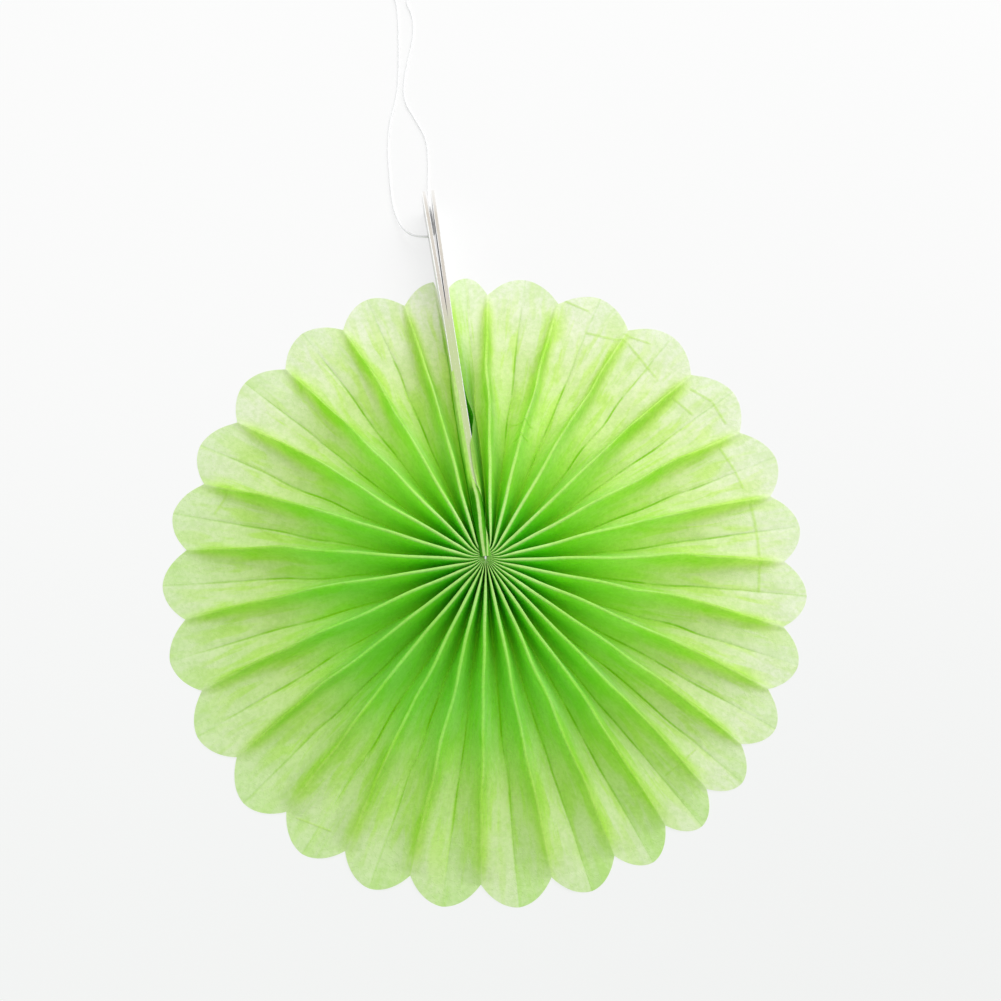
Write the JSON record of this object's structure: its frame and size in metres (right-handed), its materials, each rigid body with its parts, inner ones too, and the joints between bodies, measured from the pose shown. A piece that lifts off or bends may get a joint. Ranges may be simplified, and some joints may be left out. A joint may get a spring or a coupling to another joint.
{
  "type": "tissue paper fan rosette",
  "caption": "Round pleated tissue-paper fan with scalloped petals, pulled fully open, two card strips closed along one radius and a thread loop to hang it by.",
  "frame": {"origin": "on the rosette's hub axis, in the plane of its back, which the valley folds and the cards' lower edges lie on", "axes": "+Z along the hub axis towards the front of the rosette; +Y close to the radius along which the card strips run out to the thread; +X to the right of it as seen from the front"},
  "size_m": [0.2027, 0.3343, 0.0135],
  "materials": {
    "tissue": "thin matte tissue, slightly see-through",
    "card": "grey-beige board with a white liner",
    "thread": "white cotton thread"
  },
  "bodies": {
    "root": {"pleated_tissue": "tissue", "card_left": "card", "card_right": "card", "hub_tie": "thread", "thread_left": "thread", "thread_right": "thread", "thread_coil": "thread", "coil_tie": "thread", "loop_knot": "thread"}
  },
  "joints": []
}
